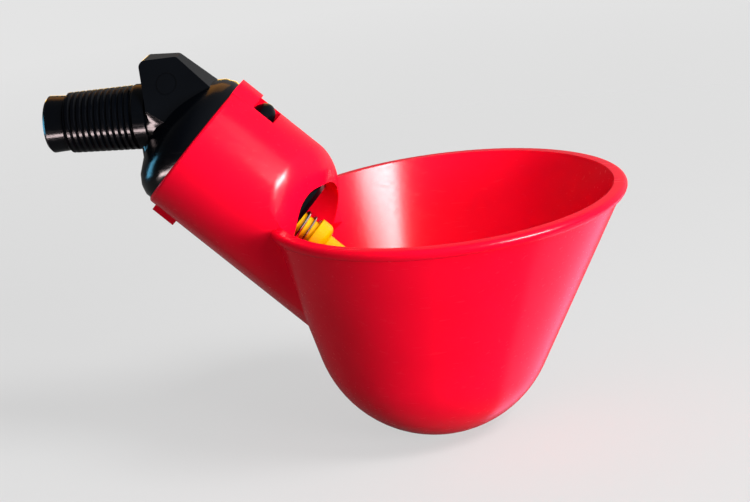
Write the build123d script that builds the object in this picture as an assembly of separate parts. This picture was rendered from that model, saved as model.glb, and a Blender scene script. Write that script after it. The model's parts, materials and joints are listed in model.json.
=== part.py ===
"""Poultry drinking cup: a red moulded cup with a slanted collar, a black threaded
inlet elbow that snaps into the collar, and a sprung yellow peck trigger that opens
the water valve inside.

Frame: millimetres, +Z up. The origin is the centre of the shoulder face on the
axis of the threaded stub. The stub points along -X and the bowl lies along +X.
"""
from build123d import *
import math
import os

# Threaded stub
STUB_LENGTH = 13.2
THREAD_CREST_D = 8.8
NOSE_D = 8.0
NOSE_LENGTH = 2.8
NOSE_CHAMFER = 0.35
STUB_BORE_D = 4.2

# Elbow: the stub axis meets the collar axis at an angle
ELBOW_ANGLE = 45.0
ELBOW_REACH = 3.1
ELBOW_DROP = 5.8
FLANGE_INSET = 0.4
FLANGE_EDGE = 0.7
DOME_FOOT_INSET = 0.55
DOME_FOOT_H = 2.0
DOME_SHOULDER_INSET = 1.5
DOME_SHOULDER_H = 3.0
DOME_TOP_D = 7.0
DOME_TOP_H = 5.6
NECK_D = 9.4
NECK_LENGTH = 1.7
BEND_D = 8.4
WING_THICKNESS = 2.4
WING_LEAN = 24.2
WING_FRONT_TOP = 1.35
WING_FRONT_LOW = 2.4
WING_RISE = 8.3
WING_SLANT_PLACE = 8.35
WING_CORNER_R = 0.8
CHEEK_PLACE = 1.1
CHEEK_WIDTH = 9.9
CHEEK_UNDERCUT = 25.0
CHEEK_FOOT = 0.7
GUSSET_WIDTH = 7.4
GUSSET_NOSE_R = 2.2
EJECTOR_D = 2.9
EJECTOR_DEPTH = 0.12
EJECTOR_WIDTH = 0.18
EJECTOR_REACH = 5.1
EJECTOR_RISE = 4.95

# Spigot and nose tube of the elbow, inside the collar
SPIGOT_END_GAP = 0.5
NOSE_TUBE_D = 14.0
NOSE_TUBE_WALL = 1.4
NOSE_TUBE_END = 18.1
NOSE_TUBE_CHAMFER = 0.6
O_RING_SECTION = 1.6
O_RING_SQUEEZE = 0.24
O_RING_PLACE = 9.4
O_RING_CHAMFER = 0.4
GROOVE_SIDE_GAP = 0.16
LUG_WIDTH = 4.6
LUG_PROUD = 0.25
LUG_CREST = 1.3

# Cup: collar
COLLAR_D = 20.8
COLLAR_WALL = 1.8
COLLAR_EDGE_R = 0.5
SOCKET_DEPTH = 12.0
HOOD_LENGTH = 18.0
HOOD_TILT = 12.0
HOOD_R = 3.6
WINDOW_WIDTH = 5.2
TOP_WINDOW_START = 3.5
TOP_WINDOW_LENGTH = 3.5
LOW_WINDOW_START = 4.8
LOW_WINDOW_LENGTH = 2.8
PAD_WIDTH = 6.4
PAD_RISE = 0.85
PAD_EDGE_R = 0.4
LOW_PAD_START = 1.2

# Cup: bowl, measured from the centre of its rim
RIM_REACH = 41.1
RIM_DROP = 14.9
WALL = 1.5
LIP_OVERHANG = 0.45
LIP_HEIGHT = 1.5
LIP_TOP_R = 0.65
BOTTOM_R = 16.9
BOTTOM_CENTRE_BACK = 3.5
BOTTOM_CENTRE_DEPTH = 16.8
BOWL_HALF_ANGLE = 20.9
BOWL_TILT = 8.1

# Valve seat ring
SEAT_INSET = 5.5
SEAT_THICKNESS = 1.6
SEAT_LIP_WALL = 0.7
SEAT_LIP_TAPER = 0.3
SEAT_LIP_RISE = 0.5
SEAT_SLEEVE_LENGTH = 2.4
SEAT_SLEEVE_WALL = 1.2

# Peck trigger with its washer, button and spring
STEM_D = 3.5
STEM_TAIL_D = 2.0
HEAD_GAP = 2.65
HEAD_LENGTH = 2.2
HEAD_MARGIN = 0.3
HEAD_EDGE_R = 0.9
PECK_PIN_D = 2.9
PECK_PIN_LENGTH = 12.75
PECK_PIN_TIP_R = 1.3
SEAL_D = 7.2
SEAL_THICKNESS = 1.2
BUTTON_INSET = 0.4
BUTTON_THICKNESS = 1.1
BUTTON_SOCKET = 0.66
BUTTON_EDGE_R = 0.35
TRIGGER_TRAVEL = 1.6
WIRE_D = 0.4
SPRING_TURNS = 6.0
WIRE_SIDES = 8
STOP_RIB_HEIGHT = 1.0
STOP_RIB_THICKNESS = 1.0
STOP_RIB_COUNT = 3

# Fits
SPIGOT_GAP = 0.1
NOSE_TUBE_GAP = 0.45
CHAMBER_GAP = 1.0
STEM_GAP = 0.35
SPRING_GAP = 0.15
LUG_GAP = 0.3
SEATED_GAP = 0.02
STOP_GAP = 0.05

# Places that follow from the sizes
slope = math.radians(ELBOW_ANGLE)
collar_dir = Vector(math.cos(slope), 0, -math.sin(slope))
collar_top_dir = Vector(math.sin(slope), 0, math.cos(slope))
crossing = Vector(ELBOW_REACH, 0, 0)
collar_mouth = crossing + collar_dir * ELBOW_DROP
collar_frame = Plane(origin=collar_mouth, x_dir=collar_top_dir, z_dir=collar_dir)
stub_frame = Plane(origin=(0, 0, 0), x_dir=(0, 0, 1), z_dir=(1, 0, 0))
rim_centre = Vector(RIM_REACH, 0, -RIM_DROP)
tilt = math.radians(BOWL_TILT)
bottom_centre = rim_centre + Vector(-BOTTOM_CENTRE_BACK, 0, -BOTTOM_CENTRE_DEPTH)
bowl_frame = Plane(origin=bottom_centre, x_dir=(math.cos(tilt), 0, -math.sin(tilt)),
                   z_dir=(math.sin(tilt), 0, math.cos(tilt)))
collar_reach = (bottom_centre.X - collar_mouth.X) / math.cos(slope)
socket_r = COLLAR_D / 2 - COLLAR_WALL
spigot_r = socket_r - SPIGOT_GAP
channel_r = NOSE_TUBE_D / 2 + NOSE_TUBE_GAP
nose_bore_r = NOSE_TUBE_D / 2 - NOSE_TUBE_WALL
flange_r = COLLAR_D / 2 - FLANGE_INSET
groove_r = socket_r - O_RING_SECTION + O_RING_SQUEEZE
stub_bore_r = STUB_BORE_D / 2
bend_r = BEND_D / 2
seat_place = NOSE_TUBE_END - SEAT_INSET
seal_place = seat_place - SEAT_LIP_RISE
button_place = seal_place - SEAL_THICKNESS
button_top = button_place - BUTTON_THICKNESS
stop_place = button_top - TRIGGER_TRAVEL - STOP_GAP
chamber_r = SEAL_D / 2 + CHAMBER_GAP
chamber_top = stop_place - STOP_RIB_HEIGHT
head_start = NOSE_TUBE_END + HEAD_GAP
coil_r = STEM_D / 2 + SPRING_GAP + WIRE_D / 2
head_r = coil_r + WIRE_D / 2 + HEAD_MARGIN

# How far a cutter runs past the face that it cuts, and a length beyond the whole object
past = COLLAR_WALL / 2
beyond = 3 * RIM_REACH
bowl_reach = 2 * BOTTOM_CENTRE_DEPTH + BOTTOM_R


def along_collar(shape):
    """Move a shape drawn about the local Z axis onto the collar axis."""
    return collar_frame * shape


def rod(radius, start, end):
    """A plain round bar about local Z from one place to another."""
    return Pos(0, 0, start) * Cylinder(radius, end - start, align=(Align.CENTER, Align.CENTER, Align.MIN))


def turned(points):
    """Revolve a closed outline of (radius, place) points about local Z."""
    outline = Polyline([(r, 0, z) for r, z in points], close=True)
    return revolve(make_face(outline), Axis.Z)


def bowl_blank(offset, reach):
    """Solid of the bowl's tapered cup with a round bottom, grown by offset.

    The straight taper is tangent to the ball of the bottom and rises to reach.
    """
    half = math.radians(BOWL_HALF_ANGLE)
    r = BOTTOM_R + offset
    tangent = (r * math.cos(half), -r * math.sin(half))
    rise = reach - tangent[1]
    top = (tangent[0] + rise * math.tan(half), reach)
    middle = (r * math.sin(math.pi / 4 - half / 2), -r * math.cos(math.pi / 4 - half / 2))
    arc = ThreePointArc((0, 0, -r), (middle[0], 0, middle[1]), (tangent[0], 0, tangent[1]))
    side = Line((tangent[0], 0, tangent[1]), (top[0], 0, top[1]))
    lid = Line((top[0], 0, top[1]), (0, 0, top[1]))
    axis = Line((0, 0, top[1]), (0, 0, -r))
    return bowl_frame * revolve(make_face([arc, side, lid, axis]), Axis.Z)


def slab(z_low, z_high):
    """A wide flat block between two heights, about the rim."""
    block = Box(beyond, beyond, z_high - z_low, align=(Align.CENTER, Align.CENTER, Align.MIN))
    return Pos(rim_centre.X, 0, z_low) * block


def make_lip():
    """The thicker band round the rim, rounded on top."""
    rim_z = rim_centre.Z
    band = bowl_blank(LIP_OVERHANG, bowl_reach) & slab(rim_z - LIP_HEIGHT, rim_z)
    band = band - bowl_blank(-WALL, bowl_reach)
    top_edges = band.faces().sort_by(Axis.Z)[-1].edges()
    band = fillet(top_edges, LIP_TOP_R)
    return band


def make_hood():
    """The part of the collar that reaches over the bowl, cut off aslant, with a rounded front edge."""
    hood = rod(COLLAR_D / 2, 0, HOOD_LENGTH + COLLAR_D)
    front = Plane(origin=(0, 0, HOOD_LENGTH)).rotated((0, -HOOD_TILT, 0))
    hood = split(hood, bisect_by=front, keep=Keep.BOTTOM)
    rim = hood.faces().sort_by(Axis.Z)[-1].edges()
    hood = fillet(rim, HOOD_R)
    mouth = hood.faces().sort_by(Axis.Z)[0].edges()
    return along_collar(fillet(mouth, COLLAR_EDGE_R))


def on_side(shape, side):
    """Keep the half of a shape that lies above (side 1) or below (side -1) the collar's axis."""
    half = Box(beyond, beyond, beyond, align=(Align.MIN, Align.CENTER, Align.CENTER))
    return shape & (half if side > 0 else Rot(0, 0, 180) * half)


def make_snap_pad(side, start, end):
    """One of the two raised pads that stiffen the collar beside a snap window."""
    pad_r = COLLAR_D / 2 + PAD_RISE
    ring = rod(pad_r, start, end) - rod(socket_r, start - past, end + past)
    pad = on_side(ring & Box(beyond, PAD_WIDTH, beyond), side)
    corners = pad.edges().filter_by(Axis.Z)
    outer = [edge for edge in corners if abs(edge.center().X) > COLLAR_D / 2]
    return along_collar(fillet(outer, PAD_EDGE_R))


def make_window(side, start, length):
    """The cutter of one snap window through the collar's wall."""
    window = Box(beyond, WINDOW_WIDTH, length, align=(Align.CENTER, Align.CENTER, Align.MIN))
    return along_collar(on_side(Pos(0, 0, start) * window, side))


def make_cup():
    """The one red moulding: bowl, lip, collar with its hood, pads and windows."""
    shell = bowl_blank(0, bowl_reach) & slab(rim_centre.Z - bowl_reach, rim_centre.Z - LIP_HEIGHT / 2)
    pipe = along_collar(rod(COLLAR_D / 2, COLLAR_WALL, collar_reach))
    body = shell + pipe - bowl_blank(-WALL, beyond)
    body = body + make_lip() + make_hood()
    body = body + make_snap_pad(1, 0, TOP_WINDOW_START) + make_snap_pad(-1, LOW_PAD_START, LOW_WINDOW_START)
    socket = rod(socket_r, -past, SOCKET_DEPTH)
    channel = rod(channel_r, SOCKET_DEPTH - past, collar_reach)
    body = body - along_collar(socket + channel)
    windows = make_window(1, TOP_WINDOW_START, TOP_WINDOW_LENGTH)
    return body - windows - make_window(-1, LOW_WINDOW_START, LOW_WINDOW_LENGTH)


def make_stub():
    """The inlet stub at its crest size, with a smooth nose and a short plain neck."""
    outline = [
        (0, -STUB_LENGTH),
        (NOSE_D / 2 - NOSE_CHAMFER, -STUB_LENGTH),
        (NOSE_D / 2, -STUB_LENGTH + NOSE_CHAMFER),
        (NOSE_D / 2, -STUB_LENGTH + NOSE_LENGTH),
        (THREAD_CREST_D / 2, -STUB_LENGTH + NOSE_LENGTH + (THREAD_CREST_D - NOSE_D) / 2),
        (THREAD_CREST_D / 2, 0),
        (0, 0),
    ]
    return stub_frame * turned(outline)


def make_dome():
    """The flange on the collar's mouth and the shallow cone above it."""
    outline = [
        (0, 0),
        (flange_r, 0),
        (flange_r, -FLANGE_EDGE),
        (flange_r - DOME_FOOT_INSET, -DOME_FOOT_H),
        (flange_r - DOME_SHOULDER_INSET, -DOME_SHOULDER_H),
        (DOME_TOP_D / 2, -DOME_TOP_H),
        (0, -DOME_TOP_H),
    ]
    return along_collar(turned(outline))


def make_bend():
    """The short neck behind the thread, and two thinner cylinders joined at the mitre."""
    mitre = Plane(origin=crossing, z_dir=Vector(1, 0, 0) + collar_dir)
    level = split(stub_frame * rod(bend_r, 0, ELBOW_REACH + BEND_D), bisect_by=mitre, keep=Keep.BOTTOM)
    slanted = split(along_collar(rod(bend_r, -ELBOW_DROP - BEND_D, 0)), bisect_by=mitre, keep=Keep.TOP)
    return stub_frame * rod(NECK_D / 2, 0, NECK_LENGTH) + level + slanted


def beside_collar(reach, place):
    """The (x, z) of a point at a place beside the collar's axis and a reach along it."""
    point = crossing + collar_dir * reach + collar_top_dir * place
    return (point.X, point.Z)


def place_height(x, place):
    """The height of the point at x that lies at a place beside the collar's axis."""
    return (place - (x - ELBOW_REACH) * math.sin(slope)) / math.cos(slope)


def wedge(frame, narrow, depth, lean):
    """A prism along a frame's axis that widens from narrow over depth, on both sides of the XZ plane."""
    wide = narrow + 2 * depth * math.tan(math.radians(lean))
    outline = Polyline([(0, narrow / 2), (0, -narrow / 2), (-depth, -wide / 2), (-depth, wide / 2)], close=True)
    return extrude(frame * make_face(outline), beyond, both=True)


def make_wing():
    """The finger wing: a plate that thickens down to the bend, bevelled under its cheeks, with ejector marks."""
    low_z = place_height(WING_FRONT_LOW, -CHEEK_FOOT)
    top_end = ELBOW_REACH + (WING_SLANT_PLACE - WING_RISE * math.cos(slope)) / math.sin(slope)
    outline = Polyline([(x, 0, z) for x, z in [
        (WING_FRONT_LOW, low_z),
        (WING_FRONT_TOP, WING_RISE),
        (top_end, WING_RISE),
        beside_collar(ELBOW_DROP, WING_SLANT_PLACE),
        beside_collar(ELBOW_DROP, -CHEEK_FOOT),
    ]], close=True)
    plate = extrude(make_face(outline), COLLAR_D / 2, dir=(0, 1, 0), both=True)
    plate = fillet(plate.edges().filter_by(Axis.Y).sort_by(Axis.Z)[-2:], WING_CORNER_R)
    half = slope / 2
    lean_frame = Plane(origin=(top_end, 0, WING_RISE), x_dir=(math.sin(half), 0, math.cos(half)),
                       z_dir=(math.cos(half), 0, -math.sin(half)))
    sides = wedge(lean_frame, WING_THICKNESS, 2 * WING_RISE, WING_LEAN)
    foot_width = CHEEK_WIDTH - 2 * (CHEEK_PLACE + CHEEK_FOOT) * math.tan(math.radians(CHEEK_UNDERCUT))
    foot_frame = Plane(origin=crossing - collar_top_dir * CHEEK_FOOT, x_dir=-collar_top_dir, z_dir=collar_dir)
    cheeks = wedge(foot_frame, foot_width, 2 * WING_RISE, CHEEK_UNDERCUT)
    ring = Circle(EJECTOR_D / 2) - Circle(EJECTOR_D / 2 - EJECTOR_WIDTH)
    mark = extrude(Plane.XZ * Pos(EJECTOR_REACH, EJECTOR_RISE) * ring, CHEEK_WIDTH, both=True)
    core = wedge(lean_frame, WING_THICKNESS - 2 * EJECTOR_DEPTH, 2 * WING_RISE, WING_LEAN)
    return (plate & sides & cheeks) - (mark - core)


def make_gusset():
    """The upright rib under the stub, with a rounded nose, down to the flange."""
    height = abs(collar_mouth.Z) + flange_r
    rib = Box(collar_mouth.X, GUSSET_WIDTH, height, align=(Align.MIN, Align.CENTER, Align.MAX))
    nose = rib.edges().filter_by(Axis.Z).sort_by(Axis.X)[:2]
    return fillet(nose, GUSSET_NOSE_R)


def above_mouth(shape):
    """Keep what lies on the elbow's side of the collar's mouth and behind the shoulder face."""
    block = Box(beyond, beyond, beyond, align=(Align.CENTER, Align.CENTER, Align.MAX))
    front = Box(beyond, beyond, beyond, align=(Align.MIN, Align.CENTER, Align.CENTER))
    return shape & along_collar(block) & front


def make_lug(side, window_start, window_length):
    """One snap lug on the spigot, a ramp with a blunt crest that stands in its window."""
    lug_r = COLLAR_D / 2 + LUG_PROUD
    root_r = spigot_r - LUG_PROUD
    start = window_start + LUG_GAP
    end = window_start + window_length - LUG_GAP
    ring = turned([
        (root_r, start),
        (lug_r, start),
        (lug_r, start + LUG_CREST),
        (spigot_r, end),
        (root_r, end),
    ])
    return on_side(ring & Box(beyond, LUG_WIDTH, beyond), side)


def make_spigot():
    """What goes into the collar: spigot with its seal groove, nose tube and snap lugs."""
    tube = rod(NOSE_TUBE_D / 2, 0, NOSE_TUBE_END)
    tube = chamfer(tube.faces().sort_by(Axis.Z)[-1].edges(), NOSE_TUBE_CHAMFER)
    body = rod(spigot_r, 0, SOCKET_DEPTH - SPIGOT_END_GAP) + tube
    groove_half = O_RING_SECTION / 2 + GROOVE_SIDE_GAP
    groove = rod(spigot_r + past, O_RING_PLACE - groove_half, O_RING_PLACE + groove_half)
    groove = groove - rod(groove_r, 0, SOCKET_DEPTH)
    lugs = make_lug(1, TOP_WINDOW_START, TOP_WINDOW_LENGTH)
    return body - groove + lugs + make_lug(-1, LOW_WINDOW_START, LOW_WINDOW_LENGTH)


def make_water_way():
    """The cutter of the bores: the stub's, the drop into the chamber, and the seat's pocket."""
    stub_bore = stub_frame * rod(stub_bore_r, -STUB_LENGTH - past, ELBOW_REACH)
    drop = rod(stub_bore_r, -ELBOW_DROP, chamber_top + past)
    pocket = rod(nose_bore_r, seat_place, NOSE_TUBE_END + past)
    return stub_bore + along_collar(drop + make_chamber() + pocket)


def make_chamber():
    """The valve chamber, with ribs on its roof that stop the button at full travel."""
    chamber = rod(chamber_r, chamber_top, seat_place + past)
    rib = Box(chamber_r, STOP_RIB_THICKNESS, STOP_RIB_HEIGHT, align=(Align.MIN, Align.CENTER, Align.MIN))
    for number in range(STOP_RIB_COUNT):
        turn = Rot(0, 0, number * 360 / STOP_RIB_COUNT)
        chamber = chamber - turn * (Pos(stub_bore_r, 0, chamber_top) * rib)
    return chamber


def make_elbow():
    """The black moulding: stub, wing, dome, spigot and the water way through them."""
    head = above_mouth(make_bend() + make_wing() + make_gusset() + make_dome())
    body = make_stub() + head + along_collar(make_spigot())
    return body - make_water_way()


def make_valve_seat():
    """The pressed-in ring that closes the nose tube: seat lip, web and spring cup."""
    outer = nose_bore_r - SEATED_GAP
    hole = STEM_D / 2 + STEM_GAP
    lip = hole + SEAT_LIP_WALL
    web_end = seat_place + SEAT_THICKNESS
    sleeve_end = seat_place + SEAT_SLEEVE_LENGTH
    outline = [
        (hole, seat_place),
        (hole, seal_place),
        (lip - SEAT_LIP_TAPER, seal_place),
        (lip, seat_place),
        (outer, seat_place),
        (outer, sleeve_end),
        (outer - SEAT_SLEEVE_WALL, sleeve_end),
        (outer - SEAT_SLEEVE_WALL, web_end),
        (hole, web_end),
    ]
    return along_collar(turned(outline))


def make_trigger():
    """The yellow trigger: stem, round head under the spring and the pin that is pecked."""
    stem = rod(STEM_D / 2, seal_place, head_start + HEAD_LENGTH)
    tail = rod(STEM_TAIL_D / 2, button_place - BUTTON_SOCKET, head_start)
    head = rod(head_r, head_start, head_start + HEAD_LENGTH)
    head = fillet(head.faces().sort_by(Axis.Z)[-1].edges(), HEAD_EDGE_R)
    pin = rod(PECK_PIN_D / 2, head_start, head_start + PECK_PIN_LENGTH)
    pin = fillet(pin.faces().sort_by(Axis.Z)[-1].edges(), PECK_PIN_TIP_R)
    return along_collar(stem + tail + head + pin)


def make_seal():
    """The soft washer that lies on the seat lip."""
    ring = rod(SEAL_D / 2, button_place, seal_place)
    return along_collar(ring - rod(STEM_TAIL_D / 2 + SEATED_GAP, button_top, seat_place))


def make_button():
    """The cap pressed on the stem's tail, which carries the washer."""
    cap = rod(SEAL_D / 2 - BUTTON_INSET, button_top, button_place)
    cap = fillet(cap.faces().sort_by(Axis.Z)[0].edges(), BUTTON_EDGE_R)
    socket = rod(STEM_TAIL_D / 2 + SEATED_GAP, button_place - BUTTON_SOCKET, seat_place)
    return along_collar(cap - socket)


def make_spring():
    """The coil spring between the seat ring's web and the trigger's head."""
    start = seat_place + SEAT_THICKNESS + WIRE_D / 2
    length = head_start - WIRE_D / 2 - start
    path = Helix(pitch=length / SPRING_TURNS, height=length, radius=coil_r)
    section = Plane(origin=path @ 0, z_dir=path % 0) * RegularPolygon(WIRE_D / 2, WIRE_SIDES)
    return along_collar(Pos(0, 0, start) * sweep(section, path=path))


def make_o_ring():
    """The ring that seals the spigot in the collar's socket, squeezed in its groove."""
    fill = O_RING_SECTION - O_RING_SQUEEZE - 2 * SEATED_GAP
    section = Rectangle(fill, O_RING_SECTION)
    section = chamfer(section.vertices(), O_RING_CHAMFER)
    place = Pos(groove_r + SEATED_GAP + fill / 2, O_RING_PLACE)
    return along_collar(revolve(Plane.XZ * place * section, Axis.Z))


def main():
    """Build every piece and write one file for each."""
    parts = {
        "cup_body": make_cup(),
        "inlet_elbow": make_elbow(),
        "valve_seat": make_valve_seat(),
        "peck_trigger": make_trigger(),
        "valve_seal": make_seal(),
        "stem_button": make_button(),
        "return_spring": make_spring(),
        "spigot_o_ring": make_o_ring(),
    }
    os.makedirs("parts", exist_ok=True)
    for name, shape in parts.items():
        export_step(shape, f"parts/{name}.step")


main()
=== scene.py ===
"""Poultry drinking cup: its finishes, the fine forms of its mouldings, its coil spring and a plain studio.

The cup is one injection-moulded piece of red polypropylene. The inlet elbow is black moulded
plastic with a fine thread on its stub, the peck trigger is yellow acetal, and its return
spring is drawn stainless wire. All lengths in this file are metres unless a name ends in _mm.
"""
import json
import logging
import math
from dataclasses import dataclass, field
from enum import Enum
from typing import Any

import bpy
from mathutils import Matrix, Vector


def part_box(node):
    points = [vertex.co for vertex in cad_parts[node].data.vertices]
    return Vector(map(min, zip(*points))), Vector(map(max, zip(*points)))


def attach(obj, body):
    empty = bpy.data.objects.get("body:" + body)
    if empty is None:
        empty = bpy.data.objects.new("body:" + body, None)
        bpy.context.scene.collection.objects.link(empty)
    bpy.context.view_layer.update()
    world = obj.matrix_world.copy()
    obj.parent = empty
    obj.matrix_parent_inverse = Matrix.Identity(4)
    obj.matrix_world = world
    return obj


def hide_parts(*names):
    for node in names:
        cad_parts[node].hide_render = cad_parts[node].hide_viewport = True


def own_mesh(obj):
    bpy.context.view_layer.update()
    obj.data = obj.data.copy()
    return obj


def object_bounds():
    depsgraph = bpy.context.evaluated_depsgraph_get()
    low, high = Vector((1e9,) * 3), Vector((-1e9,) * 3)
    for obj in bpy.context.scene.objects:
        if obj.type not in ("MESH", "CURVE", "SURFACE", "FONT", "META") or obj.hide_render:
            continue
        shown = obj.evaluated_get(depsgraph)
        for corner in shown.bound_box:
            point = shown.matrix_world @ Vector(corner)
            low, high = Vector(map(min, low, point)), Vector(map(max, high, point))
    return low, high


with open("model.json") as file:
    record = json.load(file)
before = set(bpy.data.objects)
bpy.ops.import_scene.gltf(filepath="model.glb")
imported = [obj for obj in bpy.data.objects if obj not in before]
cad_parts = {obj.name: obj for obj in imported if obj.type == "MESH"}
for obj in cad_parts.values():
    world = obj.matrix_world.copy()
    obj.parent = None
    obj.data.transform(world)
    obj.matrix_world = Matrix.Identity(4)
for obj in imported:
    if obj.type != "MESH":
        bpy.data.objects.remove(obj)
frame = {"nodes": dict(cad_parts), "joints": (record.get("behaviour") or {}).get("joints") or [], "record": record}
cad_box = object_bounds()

MM = 0.001
SMOOTH_ANGLE = math.radians(32)
MERGE_DISTANCE = 0.001 * MM
RIM_CENTRE = (41.1 * MM, 0.0, -14.9 * MM)

log = logging.getLogger("drinking_cup")


class Slot(Enum):
    """The material slots of the record."""

    CUP = "cup_plastic"
    ELBOW = "elbow_plastic"
    TRIGGER = "trigger_plastic"
    SEAL = "seal_rubber"
    SPRING = "spring_steel"


def linear(hex_colour: str) -> tuple[float, float, float, float]:
    """Turn an sRGB hex colour into a linear colour with full alpha.

    Args:
        hex_colour: The colour as "#RRGGBB".

    Returns:
        Red, green, blue and alpha, from 0 to 1.
    """
    channels = [int(hex_colour[i:i + 2], 16) / 255 for i in (1, 3, 5)]
    red, green, blue = (c / 12.92 if c <= 0.04045 else ((c + 0.055) / 1.055) ** 2.4 for c in channels)
    return (red, green, blue, 1.0)


def add_node(tree: bpy.types.NodeTree, kind: str, settings: dict[Any, Any] | None = None,
             links: dict[Any, bpy.types.NodeSocket] | None = None) -> bpy.types.Node:
    """Add one shader node with its settings and its incoming links.

    Args:
        tree: The node tree that gets the node.
        kind: The node's type name.
        settings: Values by input name, input number or property name.
        links: Output sockets by the name or number of the input that they feed.

    Returns:
        The new node.
    """
    node = tree.nodes.new(kind)
    for key, value in (settings or {}).items():
        if isinstance(key, str) and hasattr(node, key):
            setattr(node, key, value)
    for key, value in (settings or {}).items():
        if not (isinstance(key, str) and hasattr(node, key)):
            node.inputs[key].default_value = value
    for key, socket in (links or {}).items():
        tree.links.new(socket, node.inputs[key])
    return node


def per_metre(size_mm: float) -> float:
    """Give a texture's scale for features of a size in millimetres."""
    return 1.0 / (size_mm * MM)


def empty_material(name: str) -> tuple[bpy.types.Material, bpy.types.NodeTree]:
    """Make a material with no nodes.

    Args:
        name: The material's name.

    Returns:
        The material and its node tree.
    """
    material = bpy.data.materials.new(name)
    material.use_nodes = True
    material.node_tree.nodes.clear()
    return material, material.node_tree


def spread(tree: bpy.types.NodeTree, socket: bpy.types.NodeSocket, low: float, high: float,
           start: float = 0.35, end: float = 0.65) -> bpy.types.NodeSocket:
    """Stretch the middle of a pattern to a range of values.

    Args:
        tree: The node tree.
        socket: The pattern, from 0 to 1.
        low: The value where the pattern is at start or under it.
        high: The value where the pattern is at end or over it.
        start: The pattern's value that gives low.
        end: The pattern's value that gives high.

    Returns:
        The stretched value's socket.
    """
    node = add_node(tree, "ShaderNodeMapRange",
                    {"From Min": start, "From Max": end, "To Min": low, "To Max": high}, {"Value": socket})
    return node.outputs["Result"]


@dataclass(frozen=True)
class MouldedPlastic:
    """A gloss thermoplastic from a polished mould: an even colour with a faint orange peel and rub marks."""

    name: str
    colour: str
    flow_colour: str
    roughness: float
    specular: float
    peel_mm: float
    peel_depth_mm: float
    rub_roughness: float
    subsurface: float = 0.0
    glow_mm: tuple[float, float, float] = (1.0, 0.2, 0.1)
    flow_mm: float = 14.0
    rub_mm: float = 6.0
    rub_turn: tuple[float, float, float] = (0.4, 0.9, 0.3)
    rub_stretch: tuple[float, float, float] = (1.0, 14.0, 14.0)
    rub_start: float = 0.5
    rub_end: float = 0.75

    def build(self) -> bpy.types.Material:
        """Make the material.

        Returns:
            The material, on object coordinates.
        """
        material, tree = empty_material(self.name)
        place = add_node(tree, "ShaderNodeTexCoord").outputs["Object"]
        flow = add_node(tree, "ShaderNodeTexNoise", {"Scale": per_metre(self.flow_mm), "Detail": 2.0},
                        {"Vector": place})
        shade = add_node(tree, "ShaderNodeMix", {"data_type": "RGBA", 6: linear(self.colour),
                                                 7: linear(self.flow_colour)},
                         {0: spread(tree, flow.outputs["Fac"], 0.0, 1.0)})
        rub_way = add_node(tree, "ShaderNodeMapping", {"Rotation": self.rub_turn, "Scale": self.rub_stretch},
                           {"Vector": place})
        rub = add_node(tree, "ShaderNodeTexNoise", {"Scale": per_metre(self.rub_mm), "Detail": 3.0},
                       {"Vector": rub_way.outputs["Vector"]})
        gloss = spread(tree, rub.outputs["Fac"], self.roughness, self.roughness + self.rub_roughness,
                       self.rub_start, self.rub_end)
        peel = add_node(tree, "ShaderNodeTexNoise", {"Scale": per_metre(self.peel_mm), "Detail": 1.0},
                        {"Vector": place})
        bump = add_node(tree, "ShaderNodeBump", {"Strength": 1.0, "Distance": self.peel_depth_mm * MM},
                        {"Height": peel.outputs["Fac"]})
        shader = add_node(tree, "ShaderNodeBsdfPrincipled",
                          {"Specular IOR Level": self.specular, "Subsurface Weight": self.subsurface,
                           "Subsurface Radius": self.glow_mm, "Subsurface Scale": MM},
                          {"Base Color": shade.outputs[2], "Roughness": gloss,
                           "Normal": bump.outputs["Normal"]})
        add_node(tree, "ShaderNodeOutputMaterial", {}, {"Surface": shader.outputs["BSDF"]})
        return material


@dataclass(frozen=True)
class DrawnWire:
    """Stainless spring wire, drawn through a die: bright metal with fine lines along its length."""

    name: str
    colour: str
    roughness: float
    line_mm: float
    line_depth_mm: float = 0.002
    line_strength: float = 0.4

    def build(self) -> bpy.types.Material:
        """Make the material.

        Returns:
            The material, on object coordinates.
        """
        material, tree = empty_material(self.name)
        place = add_node(tree, "ShaderNodeTexCoord").outputs["Object"]
        lines = add_node(tree, "ShaderNodeTexNoise", {"Scale": per_metre(self.line_mm), "Detail": 2.0},
                         {"Vector": place})
        gloss = spread(tree, lines.outputs["Fac"], self.roughness, 2 * self.roughness)
        bump = add_node(tree, "ShaderNodeBump",
                        {"Strength": self.line_strength, "Distance": self.line_depth_mm * MM},
                        {"Height": lines.outputs["Fac"]})
        shader = add_node(tree, "ShaderNodeBsdfPrincipled",
                          {"Base Color": linear(self.colour), "Metallic": 1.0},
                          {"Roughness": gloss, "Normal": bump.outputs["Normal"]})
        add_node(tree, "ShaderNodeOutputMaterial", {}, {"Surface": shader.outputs["BSDF"]})
        return material


@dataclass(frozen=True)
class SealRubber:
    """Moulded nitrile rubber: a soft matt black with a fine grain from its mould."""

    name: str
    colour: str
    roughness: float
    grain_mm: float
    grain_depth_mm: float = 0.01
    grain_strength: float = 0.6
    roughness_reach: float = 0.1

    def build(self) -> bpy.types.Material:
        """Make the material.

        Returns:
            The material, on object coordinates.
        """
        material, tree = empty_material(self.name)
        place = add_node(tree, "ShaderNodeTexCoord").outputs["Object"]
        grain = add_node(tree, "ShaderNodeTexNoise", {"Scale": per_metre(self.grain_mm), "Detail": 3.0},
                         {"Vector": place})
        gloss = spread(tree, grain.outputs["Fac"], self.roughness - self.roughness_reach,
                       self.roughness + self.roughness_reach)
        bump = add_node(tree, "ShaderNodeBump",
                        {"Strength": self.grain_strength, "Distance": self.grain_depth_mm * MM},
                        {"Height": grain.outputs["Fac"]})
        shader = add_node(tree, "ShaderNodeBsdfPrincipled", {"Base Color": linear(self.colour)},
                          {"Roughness": gloss, "Normal": bump.outputs["Normal"]})
        add_node(tree, "ShaderNodeOutputMaterial", {}, {"Surface": shader.outputs["BSDF"]})
        return material


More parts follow.
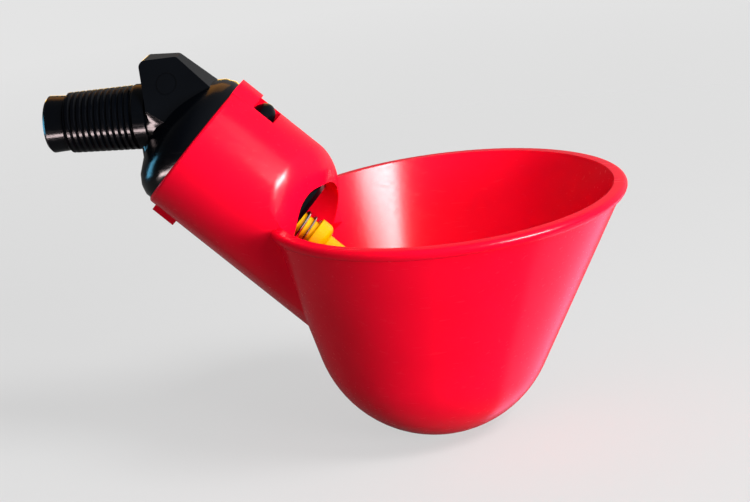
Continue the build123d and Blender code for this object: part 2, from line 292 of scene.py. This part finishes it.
def select_only(piece: bpy.types.Object) -> None:
    """Deselect everything and make one object the active and selected one.

    Args:
        piece: The object.
    """
    bpy.ops.object.select_all(action="DESELECT")
    piece.select_set(True)
    bpy.context.view_layer.objects.active = piece


def apply_modifier(piece: bpy.types.Object, kind: str, settings: dict[str, Any]) -> None:
    """Add a modifier with its settings and apply it.

    Args:
        piece: The mesh object, which becomes the active one.
        kind: The modifier's type name.
        settings: Values by property name.
    """
    select_only(piece)
    modifier = piece.modifiers.new(kind.lower(), kind)
    for key, value in settings.items():
        setattr(modifier, key, value)
    bpy.ops.object.modifier_apply(modifier=modifier.name)


def close_and_face_out(piece: bpy.types.Object) -> None:
    """Merge a mesh's doubles, fill its open ends and turn its faces outwards.

    Args:
        piece: The mesh object.
    """
    select_only(piece)
    bpy.ops.object.mode_set(mode="EDIT")
    bpy.ops.mesh.select_all(action="SELECT")
    bpy.ops.mesh.remove_doubles(threshold=MERGE_DISTANCE)
    bpy.ops.mesh.fill_holes(sides=0)
    bpy.ops.mesh.normals_make_consistent(inside=False)
    bpy.ops.object.mode_set(mode="OBJECT")


def dress(piece: bpy.types.Object, material: bpy.types.Material) -> None:
    """Give every face of an object one material."""
    piece.data.materials.clear()
    piece.data.materials.append(material)


def packed_copy(node: str, name: str) -> bpy.types.Object:
    """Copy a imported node's mesh into a new object and merge its loose triangles.

    Args:
        node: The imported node's name.
        name: The new object's name.

    Returns:
        The copy, a closed mesh at the node's place.
    """
    piece = bpy.data.objects.new(name, frame["nodes"][node].data.copy())
    bpy.context.scene.collection.objects.link(piece)
    close_and_face_out(piece)
    return piece


def smooth_by_angle(piece: bpy.types.Object) -> None:
    """Shade a mesh smooth, apart from its real edges.

    Args:
        piece: The mesh object.
    """
    select_only(piece)
    if piece.data.has_custom_normals:
        bpy.ops.mesh.customdata_custom_splitnormals_clear()
    bpy.ops.object.shade_smooth_by_angle(angle=SMOOTH_ANGLE)


@dataclass(frozen=True)
class SnapWindow:
    """One of the two windows through the collar that a snap lug of the elbow stands in."""

    side: int
    start: float
    length: float


@dataclass(frozen=True)
class Collar:
    """The collar's axis, which the trigger slides along, and what is placed along it."""

    start: Vector
    along: Vector
    upwards: Vector
    radius: float = 10.4 * MM
    windows: tuple[SnapWindow, ...] = (SnapWindow(1, 3.5 * MM, 3.5 * MM), SnapWindow(-1, 4.8 * MM, 2.8 * MM))

    @staticmethod
    def from_joint(spring_seat: float = 14.2 * MM) -> "Collar":
        """Find the collar's axis from the trigger's joint.

        Args:
            spring_seat: How far along the collar the spring's fixed end lies.

        Returns:
            The collar.
        """
        joint = frame["joints"][0]
        along = -Vector(joint["axis"])
        seat = Vector(joint["deforming_nodes"][0]["fixed_end_pos_m"])
        return Collar(seat - along * spring_seat, along, along.cross(Vector((0, 1, 0))))

    def place(self, reach: float, height: float, size: tuple[float, float, float]) -> Matrix:
        """Give the matrix of a shape that lies on the collar.

        Args:
            reach: The distance along the axis.
            height: The height over the axis.
            size: The scale along the axis, across it and upwards.

        Returns:
            The matrix, turned with the collar.
        """
        turned = Matrix((self.along, (0, 1, 0), self.upwards)).transposed().to_4x4()
        point = self.start + self.along * reach + self.upwards * height
        return Matrix.Translation(point) @ turned @ Matrix.Diagonal((*size, 1.0))


def smooth_step(value: float, low: float, high: float) -> float:
    """Rise smoothly from 0 at low to 1 at high."""
    share = min(max((value - low) / (high - low), 0.0), 1.0)
    return share * share * (3 - 2 * share)


@dataclass
class CupMoulding:
    """The red moulding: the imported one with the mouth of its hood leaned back, as it is moulded."""

    collar: Collar
    # The hood as it is packed: its length on the axis, and how far its mouth tilts.
    packed_length: float = 18.0 * MM
    packed_tilt: float = math.tan(math.radians(12.0))
    # The hood as it is moulded: its length, its mouth's lean and turn, and the dip in its near edge.
    length: float = 20.9 * MM
    lean: float = 0.35
    turn: float = 0.24
    near_dip: float = 0.75 * MM
    dip_low: float = 1.0 * MM
    dip_full: float = 5.0 * MM
    # Where along the collar the wall starts to be drawn and is fully drawn, and what lies outside that.
    plain_end: float = 8.2 * MM
    round_start: float = 14.0 * MM
    clear_of_bowl: float = 26.0 * MM
    side_low: float = -2.5 * MM
    side_high: float = 0.5 * MM
    skin: float = 0.05 * MM
    # The pad before the upper window: where it ends, how high it stays, and how its sides run out.
    pad_end: float = 3.6 * MM
    pad_share: float = 0.88
    pad_fade: float = 0.85
    pad_flat: float = 1.0 * MM
    pad_side: float = 3.2 * MM

    def lean_mouth(self, piece: bpy.types.Object) -> None:
        """Draw the hood's end along the collar, until its mouth stands upright over the bowl.

        Args:
            piece: The cup's mesh.
        """
        for vertex in piece.data.vertices:
            place = vertex.co - self.collar.start
            reach, height = place.dot(self.collar.along), place.dot(self.collar.upwards)
            if math.hypot(height, place.y) > self.collar.radius + self.skin or reach > self.clear_of_bowl:
                continue
            packed_end = self.packed_length + self.packed_tilt * height
            dip = self.near_dip * smooth_step(height, self.dip_low, self.dip_full)
            dip *= smooth_step(-place.y, self.dip_low, self.dip_full)
            new_end = self.length - self.lean * height + self.turn * place.y - dip
            share = (smooth_step(reach, self.plain_end, self.round_start)
                     * smooth_step(height, self.side_low, self.side_high))
            vertex.co += self.collar.along * ((new_end - packed_end) * share)

    def ease_top_pad(self, piece: bpy.types.Object) -> None:
        """Let the pad before the upper window run out into the collar at both sides.

        Args:
            piece: The cup's mesh.
        """
        for vertex in piece.data.vertices:
            place = vertex.co - self.collar.start
            reach, height = place.dot(self.collar.along), place.dot(self.collar.upwards)
            radius = math.hypot(height, place.y)
            if height > 0 and radius > self.collar.radius + self.skin and reach < self.pad_end:
                ease = self.pad_fade * smooth_step(abs(place.y), self.pad_flat, self.pad_side)
                rise = self.pad_share * (1 - ease)
                factor = 1 + (rise - 1) * (1 - self.collar.radius / radius)
                vertex.co += self.collar.upwards * (height * (factor - 1))
                vertex.co.y *= factor

    def build(self, material: bpy.types.Material) -> bpy.types.Object:
        """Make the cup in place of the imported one.

        Args:
            material: The cup's finish.

        Returns:
            The finished piece.
        """
        piece = packed_copy("cup_body", "red_cup")
        self.ease_top_pad(piece)
        self.lean_mouth(piece)
        smooth_by_angle(piece)
        dress(piece, material)
        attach(piece, "cup")
        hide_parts("cup_body")
        log.info("%s: %d faces", piece.name, len(piece.data.polygons))
        return piece


@dataclass
class InletElbow:
    """The black elbow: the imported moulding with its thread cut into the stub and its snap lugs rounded."""

    collar: Collar
    # The thread: a helical groove with a rounded V section, 1 turn for each pitch, up to just past the neck.
    pitch: float = 0.87 * MM
    turns: int = 12
    groove_end: float = 0.25 * MM
    groove_centre_r: float = 4.66 * MM
    groove_half_depth: float = 0.56 * MM
    groove_half_width: float = 0.44 * MM
    root_round: float = 0.09 * MM
    root_segments: int = 2
    steps: int = 56
    # The crests' taper: their radius at the nose and at the neck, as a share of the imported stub's.
    nose_taper: float = 0.962
    neck_taper: float = 1.026
    neck_margin: float = 0.01 * MM
    inner_r: float = 3.6 * MM
    # The snap lugs: half ellipsoids on the spigot, which nearly fill their windows.
    lug_foot: float = 8.55 * MM
    lug_top: float = 11.0 * MM
    lug_width: float = 4.1 * MM
    lug_gap: float = 0.03 * MM
    lug_segments: int = 32
    lug_rings: int = 20

    def groove_cutter(self) -> bpy.types.Object:
        """Model the helical cutter, a rounded V section wound about the stub's axis.

        Returns:
            The cutter, a closed mesh.
        """
        start = self.groove_end - self.turns * self.pitch
        bpy.ops.object.select_all(action="DESELECT")
        bpy.ops.mesh.primitive_circle_add(vertices=4, radius=1.0, fill_type="NOTHING",
                                          location=(start, 0, self.groove_centre_r),
                                          rotation=(math.radians(90), 0, 0))
        cutter = bpy.context.object
        cutter.scale = (self.groove_half_width, self.groove_half_depth, 1.0)
        bpy.ops.object.transform_apply(location=True, rotation=True, scale=True)
        root_z = min(vertex.co.z for vertex in cutter.data.vertices)
        bpy.ops.object.mode_set(mode="EDIT")
        bpy.ops.mesh.select_all(action="DESELECT")
        bpy.ops.object.mode_set(mode="OBJECT")
        for vertex in cutter.data.vertices:
            vertex.select = vertex.co.z < root_z + MERGE_DISTANCE
        bpy.ops.object.mode_set(mode="EDIT")
        bpy.ops.mesh.bevel(affect="VERTICES", offset=self.root_round, segments=self.root_segments)
        bpy.ops.object.mode_set(mode="OBJECT")
        apply_modifier(cutter, "SCREW", {"axis": "X", "angle": 2 * math.pi, "screw_offset": self.pitch,
                                         "iterations": self.turns, "steps": self.steps,
                                         "render_steps": self.steps})
        close_and_face_out(cutter)
        return cutter

    def round_lug(self, piece: bpy.types.Object, window: SnapWindow) -> None:
        """Swap one plain snap lug for the rounded button that the mould makes.

        Args:
            piece: The elbow's mesh.
            window: The window that the lug stands in.
        """
        middle = window.start + window.length / 2
        rise = self.lug_top - self.lug_foot
        # The cutter stands on the lug's foot, higher and wider than the plain lug.
        bpy.ops.mesh.primitive_cube_add(size=1.0)
        cutter = bpy.context.object
        cutter.matrix_world = self.collar.place(middle, window.side * (self.lug_foot + 2 * rise),
                                                (window.length, 2 * self.lug_width, 4 * rise))
        apply_modifier(piece, "BOOLEAN", {"operation": "DIFFERENCE", "solver": "EXACT", "object": cutter})
        bpy.data.objects.remove(cutter)
        bpy.ops.mesh.primitive_uv_sphere_add(segments=self.lug_segments, ring_count=self.lug_rings,
                                             radius=1.0)
        button = bpy.context.object
        button.matrix_world = self.collar.place(middle, window.side * self.lug_foot,
                                                (window.length / 2 - self.lug_gap, self.lug_width / 2, rise))
        apply_modifier(piece, "BOOLEAN", {"operation": "UNION", "solver": "EXACT", "object": button})
        bpy.data.objects.remove(button)

    def taper_thread(self, piece: bpy.types.Object, nose: float) -> None:
        """Draw the crests in towards the nose and out towards the neck, as the moulded thread tapers.

        Args:
            piece: The elbow's mesh with its thread cut.
            nose: The place along the stub where the smooth nose ends.
        """
        for vertex in piece.data.vertices:
            radius = math.hypot(vertex.co.y, vertex.co.z)
            if nose < vertex.co.x < -self.neck_margin and radius > self.inner_r:
                share = (vertex.co.x - nose) / -nose
                factor = self.nose_taper + share * (self.neck_taper - self.nose_taper)
                vertex.co.y *= factor
                vertex.co.z *= factor

    def build(self, material: bpy.types.Material) -> bpy.types.Object:
        """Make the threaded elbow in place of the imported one.

        Args:
            material: The elbow's finish.

        Returns:
            The finished piece.
        """
        piece = packed_copy("inlet_elbow", "threaded_elbow")
        cutter = self.groove_cutter()
        apply_modifier(piece, "BOOLEAN", {"operation": "DIFFERENCE", "solver": "EXACT", "object": cutter})
        bpy.data.objects.remove(cutter)
        for window in self.collar.windows:
            self.round_lug(piece, window)
        self.taper_thread(piece, self.groove_end - self.turns * self.pitch - self.groove_half_width / 2)
        smooth_by_angle(piece)
        dress(piece, material)
        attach(piece, "cup")
        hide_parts("inlet_elbow")
        log.info("%s: %d faces, %d turns of thread", piece.name, len(piece.data.polygons), self.turns)
        return piece


@dataclass
class PeckTrigger:
    """The yellow trigger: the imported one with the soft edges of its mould."""

    voxel: float = 0.11 * MM
    smoothing_rounds: int = 14
    smoothing_factor: float = 0.5

    def build(self, material: bpy.types.Material) -> bpy.types.Object:
        """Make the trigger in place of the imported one.

        Args:
            material: The trigger's finish.

        Returns:
            The finished piece.
        """
        piece = packed_copy("peck_trigger", "yellow_trigger")
        apply_modifier(piece, "REMESH", {"mode": "VOXEL", "voxel_size": self.voxel})
        apply_modifier(piece, "SMOOTH", {"factor": self.smoothing_factor,
                                         "iterations": self.smoothing_rounds})
        select_only(piece)
        bpy.ops.object.shade_smooth()
        dress(piece, material)
        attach(piece, "trigger")
        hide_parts("peck_trigger")
        log.info("%s: %d faces", piece.name, len(piece.data.polygons))
        return piece


@dataclass
class ReturnSpring:
    """The coil spring between the valve seat and the trigger's head, with closed end turns."""

    wire_d: float = 0.4 * MM
    turns: int = 6
    steps: int = 48
    wire_sides: int = 14
    end_closing: float = 0.6

    def build(self, material: bpy.types.Material) -> bpy.types.Object:
        """Wind the spring along the collar's axis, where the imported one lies.

        Args:
            material: The wire's finish.

        Returns:
            The finished piece.
        """
        joint = frame["joints"][0]
        fixed_end = Vector(joint["deforming_nodes"][0]["fixed_end_pos_m"])
        along = -Vector(joint["axis"])
        packed_wire = frame["nodes"]["return_spring"].data.vertices
        places = [along.dot(vertex.co - fixed_end) for vertex in packed_wire]
        low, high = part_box("return_spring")
        coil_r = (high.y - low.y) / 2 - self.wire_d / 2
        length = max(places) - min(places) - self.wire_d
        bpy.ops.object.select_all(action="DESELECT")
        bpy.ops.mesh.primitive_circle_add(vertices=self.wire_sides, radius=self.wire_d / 2,
                                          location=(coil_r, 0, 0), rotation=(math.radians(90), 0, 0))
        piece = bpy.context.object
        piece.name = "coil_spring"
        bpy.ops.object.transform_apply(location=True, rotation=True, scale=True)
        apply_modifier(piece, "SCREW", {"axis": "Z", "angle": 2 * math.pi,
                                        "screw_offset": length / self.turns,
                                        "iterations": self.turns, "steps": self.steps,
                                        "render_steps": self.steps})
        close_and_face_out(piece)
        self.close_ends(piece, length)
        across = Vector((0, -1, 0)).cross(along)
        turned = Matrix((across, along.cross(across), along)).transposed().to_4x4()
        start = fixed_end + along * (min(places) + self.wire_d / 2)
        piece.data.transform(Matrix.Translation(start) @ turned)
        smooth_by_angle(piece)
        dress(piece, material)
        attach(piece, "cup")
        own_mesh(piece)
        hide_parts("return_spring")
        return piece

    def close_ends(self, piece: bpy.types.Object, length: float) -> None:
        """Draw the turns together at both ends, as on a spring with closed ends.

        Args:
            piece: The coil, wound evenly along Z from the origin.
            length: The distance between the wire's centres at its two ends.
        """
        for vertex in piece.data.vertices:
            share = min(max(vertex.co.z / length, 0.0), 1.0)
            vertex.co.z += self.end_closing * (smooth_step(share, 0.0, 1.0) - share) * length


@dataclass
class Finishes:
    """The finish of each material slot."""

    # Injection-moulded polypropylene: a saturated red, slightly waxy, that lets a little light in.
    red: MouldedPlastic = MouldedPlastic(
        "moulded_red_polypropylene", "#FF062C", "#F80428", roughness=0.22, specular=0.09, peel_mm=0.9,
        peel_depth_mm=0.004, rub_roughness=0.08, subsurface=0.06)
    # Injection-moulded ABS from a polished mould: near black with small, hard reflections.
    black: MouldedPlastic = MouldedPlastic(
        "moulded_black_abs", "#020306", "#04060A", roughness=0.17, specular=0.1, peel_mm=0.5,
        peel_depth_mm=0.004, rub_roughness=0.12)
    # Injection-moulded acetal: a slippery, dense yellow with a soft gloss.
    yellow: MouldedPlastic = MouldedPlastic(
        "moulded_yellow_acetal", "#FFB800", "#FFB000", roughness=0.25, specular=0.35, peel_mm=0.6,
        peel_depth_mm=0.002, rub_roughness=0.08, subsurface=0.08, glow_mm=(0.6, 0.4, 0.1))
    # Drawn stainless wire: a white metal line with a bright edge.
    wire: DrawnWire = DrawnWire("drawn_stainless_wire", "#DADBD8", roughness=0.16, line_mm=0.08)
    # Nitrile rubber: the only matt black here.
    rubber: SealRubber = SealRubber("moulded_nitrile_rubber", "#121213", roughness=0.6, grain_mm=0.15)

    def by_slot(self) -> dict[Slot, bpy.types.Material]:
        """Build every finish.

        Returns:
            The material of each slot.
        """
        return {
            Slot.CUP: self.red.build(),
            Slot.ELBOW: self.black.build(),
            Slot.TRIGGER: self.yellow.build(),
            Slot.SPRING: self.wire.build(),
            Slot.SEAL: self.rubber.build(),
        }


class LightRole(Enum):
    """What a light does to the surfaces that it reaches."""

    FILL = "lights, and no surface mirrors it"
    RED_GLINT = "is only mirrored, and only in the red cup"
    BLACK_GLINT = "is only mirrored, and only in the black elbow"


@dataclass(frozen=True)
class SoftLight:
    """A rectangular softbox that faces one point."""

    name: str
    azimuth_deg: float
    elevation_deg: float
    distance: float
    width: float
    height: float
    power: float
    role: LightRole
    colour: str = "#FFFFFF"
    target: tuple[float, float, float] = RIM_CENTRE

    def build(self, glint_pieces: dict[LightRole, bpy.types.Collection],
              shades: bpy.types.Collection) -> None:
        """Hang the light round its target.

        Args:
            glint_pieces: The pieces that mirror the light, for each role that only some pieces mirror.
            shades: All pieces that can stand in the way of such a light.
        """
        azimuth, elevation = math.radians(self.azimuth_deg), math.radians(self.elevation_deg)
        away = Vector((math.sin(azimuth) * math.cos(elevation), -math.cos(azimuth) * math.cos(elevation),
                       math.sin(elevation)))
        data = bpy.data.lights.new(self.name, "AREA")
        data.shape = "RECTANGLE"
        data.size = self.width
        data.size_y = self.height
        data.energy = self.power
        data.color = linear(self.colour)[:3]
        lamp = bpy.data.objects.new(self.name, data)
        lamp.location = Vector(self.target) + away * self.distance
        lamp.rotation_euler = away.to_track_quat("Z", "Y").to_euler()
        lamp.visible_camera = False
        lamp.visible_diffuse = self.role not in glint_pieces
        lamp.visible_glossy = self.role is not LightRole.FILL
        bpy.context.scene.collection.objects.link(lamp)
        if self.role in glint_pieces:
            lamp.light_linking.receiver_collection = glint_pieces[self.role]
            lamp.light_linking.blocker_collection = shades


@dataclass
class Studio:
    """The plain pale floor, the soft lights and the camera."""

    background: str = "#E4E4E4"
    ambient_low: float = 0.07
    ambient_high: float = 0.32
    ambient_start: float = -0.3
    ambient_end: float = 0.8
    floor_colour: str = "#DCDCDC"
    floor_bounce: str = "#6A6A6A"
    floor_share: float = 0.28
    mirrored_share: float = 0.12
    mirrored_start: float = -0.5
    mirrored_end: float = 0.7
    floor_radius: float = 0.9
    floor_sides: int = 96
    fade_start: float = 0.12
    fade_end: float = 0.32
    rim_centre: Vector = field(default_factory=lambda: Vector(RIM_CENTRE))
    azimuth_deg: float = -12.2
    elevation_deg: float = 16.4
    roll_deg: float = 7.7
    camera_distance: float = 349.4 * MM
    aim_right: float = -9.51 * MM
    aim_up: float = -7.49 * MM
    lens_mm: float = 121.9
    sensor_mm: float = 36.0
    # Each light: its azimuth, elevation, distance, width, height, power, role, colour and target.
    lights: tuple[SoftLight, ...] = (
        SoftLight("key_window", 66, 42, 0.60, 0.20, 0.20, 3.2, LightRole.FILL),
        SoftLight("side_fill", 56, 4, 0.60, 0.26, 0.20, 5.2, LightRole.FILL),
        SoftLight("left_fill", -50, 4, 0.60, 0.40, 0.30, 0.45, LightRole.FILL),
        SoftLight("wall_window", 58, 21, 0.60, 0.30, 0.11, 24.0, LightRole.RED_GLINT),
        SoftLight("low_right_card", 128, -40, 0.40, 0.50, 0.30, 0.8, LightRole.RED_GLINT, "#DCC8FF"),
        SoftLight("front_strip", -24.4, -34, 0.070, 0.064, 0.012, 0.22, LightRole.BLACK_GLINT, "#FFE6E6",
                  target=(-12 * MM, 0.0, 0.0)),
        SoftLight("low_left_card", -100, 0, 0.30, 0.08, 0.12, 0.5, LightRole.BLACK_GLINT, "#5FB4DC"),
        SoftLight("warm_shoulder_light", 190, 42, 0.50, 0.25, 0.25, 0.4, LightRole.BLACK_GLINT, "#FFA51E"),
        SoftLight("warm_crest_light", 200, -2, 0.50, 0.25, 0.05, 0.25, LightRole.BLACK_GLINT, "#FFC21E"),
    )

    def build_world(self) -> None:
        """Make a background that looks pale grey and lights the cup softly."""
        world = bpy.data.worlds.new("studio")
        bpy.context.scene.world = world
        world.use_nodes = True
        tree = world.node_tree
        tree.nodes.clear()
        rays = add_node(tree, "ShaderNodeLightPath")
        seen = add_node(tree, "ShaderNodeMath", {"operation": "ADD"},
                        {0: rays.outputs["Is Camera Ray"], 1: rays.outputs["Is Glossy Ray"]})
        shown = add_node(tree, "ShaderNodeMath", {"operation": "ADD", "use_clamp": True},
                         {0: seen.outputs[0], 1: rays.outputs["Is Transmission Ray"]})
        place = add_node(tree, "ShaderNodeTexCoord").outputs["Generated"]
        height = add_node(tree, "ShaderNodeSeparateXYZ", {}, {0: place}).outputs["Z"]
        glow = spread(tree, height, self.ambient_low, self.ambient_high, self.ambient_start,
                      self.ambient_end)
        soft = add_node(tree, "ShaderNodeBackground", {"Color": linear("#FFFFFF")}, {"Strength": glow})
        across = add_node(tree, "ShaderNodeSeparateXYZ", {}, {0: place}).outputs["X"]
        side = spread(tree, across, self.mirrored_share, 1.0, self.mirrored_start, self.mirrored_end)
        direct = add_node(tree, "ShaderNodeMath", {"operation": "MAXIMUM"},
                          {0: side, 1: rays.outputs["Is Camera Ray"]})
        plain = add_node(tree, "ShaderNodeBackground", {"Color": linear(self.background)},
                         {"Strength": direct.outputs[0]})
        mix = add_node(tree, "ShaderNodeMixShader", {}, {0: shown.outputs[0], 1: soft.outputs[0],
                                                         2: plain.outputs[0]})
        add_node(tree, "ShaderNodeOutputWorld", {}, {"Surface": mix.outputs[0]})

    def build_floor(self) -> None:
        """Lay a pale floor under the cup, which fades into the background."""
        material, tree = empty_material("matt_pale_floor")
        place = add_node(tree, "ShaderNodeTexCoord").outputs["Object"]
        reach = add_node(tree, "ShaderNodeVectorMath", {"operation": "DISTANCE", 1: self.rim_centre},
                         {0: place})
        fade = spread(tree, reach.outputs["Value"], 0.0, 1.0, self.fade_start, self.fade_end)
        rays = add_node(tree, "ShaderNodeLightPath")
        mirrored = add_node(tree, "ShaderNodeMath", {"operation": "MAXIMUM"},
                            {0: rays.outputs["Is Glossy Ray"], 1: rays.outputs["Is Transmission Ray"]})
        dimmed = add_node(tree, "ShaderNodeMath", {"operation": "MULTIPLY", 1: self.mirrored_share},
                          {0: mirrored.outputs[0]})
        shown = add_node(tree, "ShaderNodeMath", {"operation": "MAXIMUM"},
                         {0: rays.outputs["Is Camera Ray"], 1: dimmed.outputs[0]})
        tint = add_node(tree, "ShaderNodeMix", {"data_type": "RGBA", 6: linear(self.floor_bounce),
                                                7: linear(self.floor_colour)}, {0: shown.outputs[0]})
        lit = add_node(tree, "ShaderNodeBsdfDiffuse", {}, {"Color": tint.outputs[2]})
        even = add_node(tree, "ShaderNodeEmission", {"Color": linear(self.background), "Strength": 1.0})
        seen = add_node(tree, "ShaderNodeMath", {"operation": "MULTIPLY", 1: 1 - self.floor_share},
                        {0: shown.outputs[0]})
        face = add_node(tree, "ShaderNodeMixShader", {}, {0: seen.outputs[0], 1: lit.outputs[0],
                                                          2: even.outputs[0]})
        clear = add_node(tree, "ShaderNodeBsdfTransparent")
        mix = add_node(tree, "ShaderNodeMixShader", {}, {0: fade, 1: face.outputs[0], 2: clear.outputs[0]})
        add_node(tree, "ShaderNodeOutputMaterial", {}, {"Surface": mix.outputs[0]})
        bpy.ops.object.select_all(action="DESELECT")
        bpy.ops.mesh.primitive_circle_add(vertices=self.floor_sides, radius=self.floor_radius,
                                          fill_type="NGON", location=(self.rim_centre.x, 0, cad_box[0][2]))
        floor = bpy.context.object
        floor.name = "studio_floor"
        bpy.ops.object.transform_apply(location=True)
        dress(floor, material)

    def build_camera(self) -> None:
        """Set the camera at the photograph's place, tilt and roll."""
        azimuth, elevation, roll = (math.radians(angle) for angle in
                                    (self.azimuth_deg, self.elevation_deg, self.roll_deg))
        forward = Vector((math.sin(azimuth) * math.cos(elevation), math.cos(azimuth) * math.cos(elevation),
                          -math.sin(elevation)))
        level = Vector((math.cos(azimuth), -math.sin(azimuth), 0))
        upright = level.cross(forward)
        right = level * math.cos(roll) - upright * math.sin(roll)
        up = upright * math.cos(roll) + level * math.sin(roll)
        data = bpy.data.cameras.new("photo_camera")
        data.lens = self.lens_mm
        data.sensor_width = self.sensor_mm
        camera = bpy.data.objects.new("photo_camera", data)
        place = self.rim_centre + right * self.aim_right + up * self.aim_up - forward * self.camera_distance
        camera.matrix_world = Matrix.Translation(place) @ Matrix((right, up, -forward)).transposed().to_4x4()
        bpy.context.scene.collection.objects.link(camera)
        bpy.context.scene.camera = camera

    def build(self, cup: bpy.types.Object, elbow: bpy.types.Object) -> None:
        """Set up the whole studio.

        Args:
            cup: The red piece, with glints of its own.
            elbow: The black piece, with glints of its own.
        """
        glint_pieces = {LightRole.RED_GLINT: bpy.data.collections.new("glossy_red"),
                        LightRole.BLACK_GLINT: bpy.data.collections.new("glossy_black")}
        shades = bpy.data.collections.new("shades")
        for role, piece in ((LightRole.RED_GLINT, cup), (LightRole.BLACK_GLINT, elbow)):
            glint_pieces[role].objects.link(piece)
            shades.objects.link(piece)
        self.build_world()
        self.build_floor()
        self.build_camera()
        for light in self.lights:
            light.build(glint_pieces, shades)
        bpy.context.scene.view_settings.view_transform = "Standard"
        log.info("studio: %d lights", len(self.lights))


def main() -> None:
    """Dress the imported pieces, build those that the scene finishes, and set up the studio."""
    logging.basicConfig(level=logging.INFO, format="%(name)s: %(message)s")
    materials = Finishes().by_slot()
    for subpart in frame["record"]["subparts"]:
        slot = Slot(subpart["material_slot"])
        dress(frame["nodes"][subpart["node"]], materials[slot])
        log.info("%s: %s", subpart["node"], materials[slot].name)
    collar = Collar.from_joint()
    cup = CupMoulding(collar).build(materials[Slot.CUP])
    elbow = InletElbow(collar).build(materials[Slot.ELBOW])
    PeckTrigger().build(materials[Slot.TRIGGER])
    ReturnSpring().build(materials[Slot.SPRING])
    Studio().build(cup, elbow)


if __name__ == "__main__":
    main()
